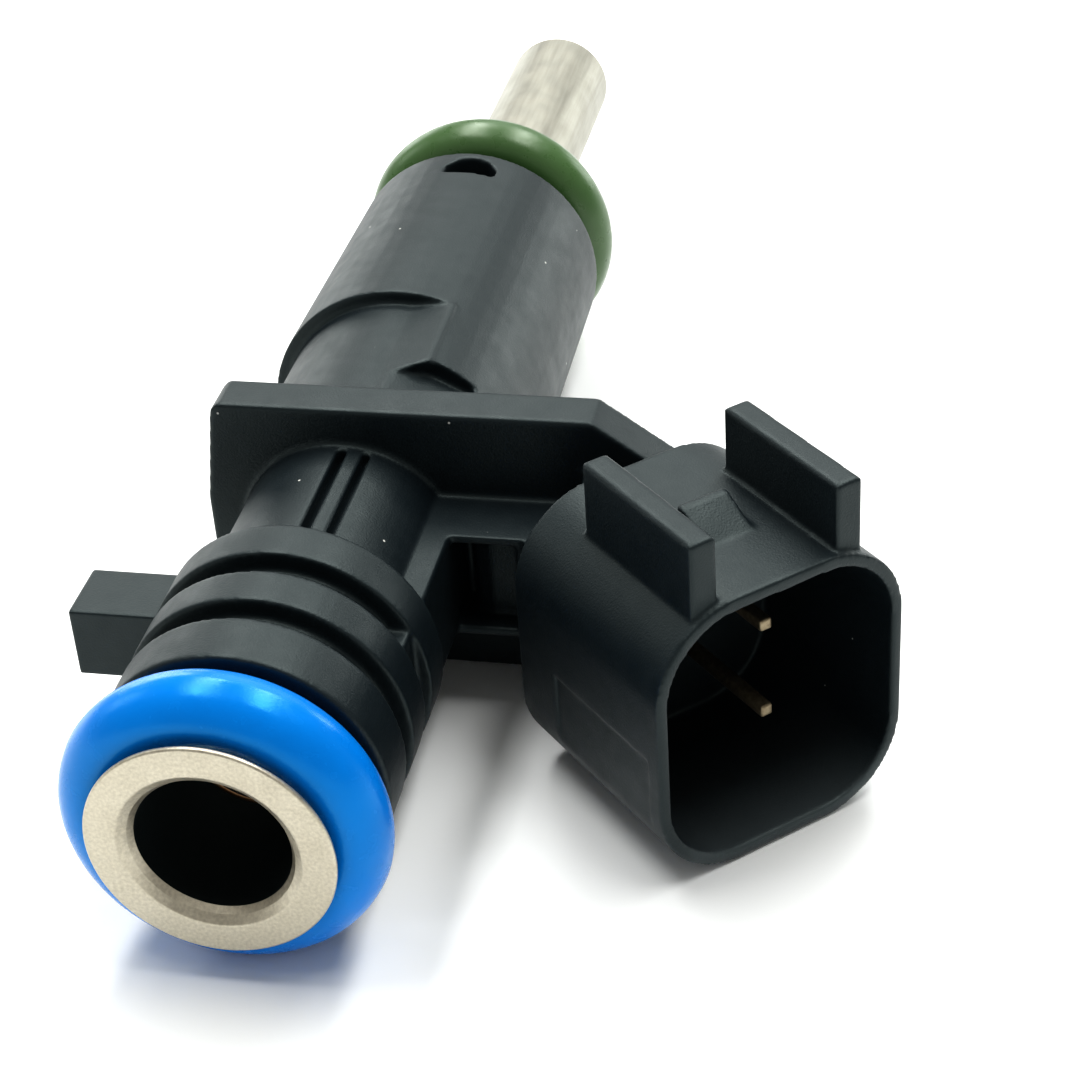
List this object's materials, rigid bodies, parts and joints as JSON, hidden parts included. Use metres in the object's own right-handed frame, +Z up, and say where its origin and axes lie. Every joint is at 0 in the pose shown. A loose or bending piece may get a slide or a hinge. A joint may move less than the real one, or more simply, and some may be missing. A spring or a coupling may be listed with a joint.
{
  "type": "fuel injector",
  "caption": "Solenoid fuel injector with a steel inlet, seal rings at both ends, a two-pin side connector and a long nozzle tip; it meters fuel into an engine's inlet port.",
  "frame": {"origin": "centre of the inlet tube's open end face", "axes": "+Y along the injector from inlet to tip, +X to the side that carries the connector, +Z up with the injector lying on its side"},
  "size_m": [0.0389, 0.0802, 0.0179],
  "materials": {
    "black_nylon": "fine moulded grain, satin",
    "inlet_steel": "satin, fine grain",
    "sleeve_steel": "drawn, fine lines along its length",
    "blue_rubber": "smooth, lightly oiled",
    "green_rubber": "smooth satin",
    "support_plastic": "satin",
    "retainer_steel": "satin",
    "filter_brass": "satin",
    "filter_plastic": "satin",
    "filter_mesh": "fine woven nylon",
    "core_steel": "ground",
    "adjuster_steel": "satin",
    "spring_steel": "bright wire",
    "needle_steel": "ground",
    "ball_steel": "polished",
    "guide_steel": "satin",
    "seat_steel": "ground",
    "orifice_steel": "satin",
    "bobbin_plastic": "satin",
    "copper_wire": "enamelled copper wire",
    "housing_steel": "plated",
    "terminal_gold": "plated, bright"
  },
  "bodies": {
    "injector": {"overmould_body": "black_nylon", "inlet_tube": "inlet_steel", "inlet_filter_ring": "filter_brass", "inlet_filter_cage": "filter_plastic", "inlet_filter_mesh": "filter_mesh", "upper_o_ring": "blue_rubber", "lower_o_ring": "green_rubber", "lower_support_ring": "support_plastic", "lower_retainer_ring": "retainer_steel", "valve_sleeve": "sleeve_steel", "pole_piece": "core_steel", "adjusting_sleeve": "adjuster_steel", "return_spring": "spring_steel", "guide_disc": "guide_steel", "valve_seat": "seat_steel", "orifice_plate": "orifice_steel", "coil_bobbin": "bobbin_plastic", "coil_winding": "copper_wire", "solenoid_housing": "housing_steel", "flux_washer": "housing_steel", "terminal_upper": "terminal_gold", "terminal_lower": "terminal_gold"},
    "valve": {"armature": "core_steel", "needle_tube": "needle_steel", "valve_ball": "ball_steel"}
  },
  "joints": [
    {"name": "needle_lift", "type": "slide", "parent": "injector", "child": "valve", "axis": [0, -1, 0], "range_m": [0, 0.00008], "stiffness_N_per_m": 1500, "springref_m": -0.002, "deforming": ["return_spring"]}
  ]
}
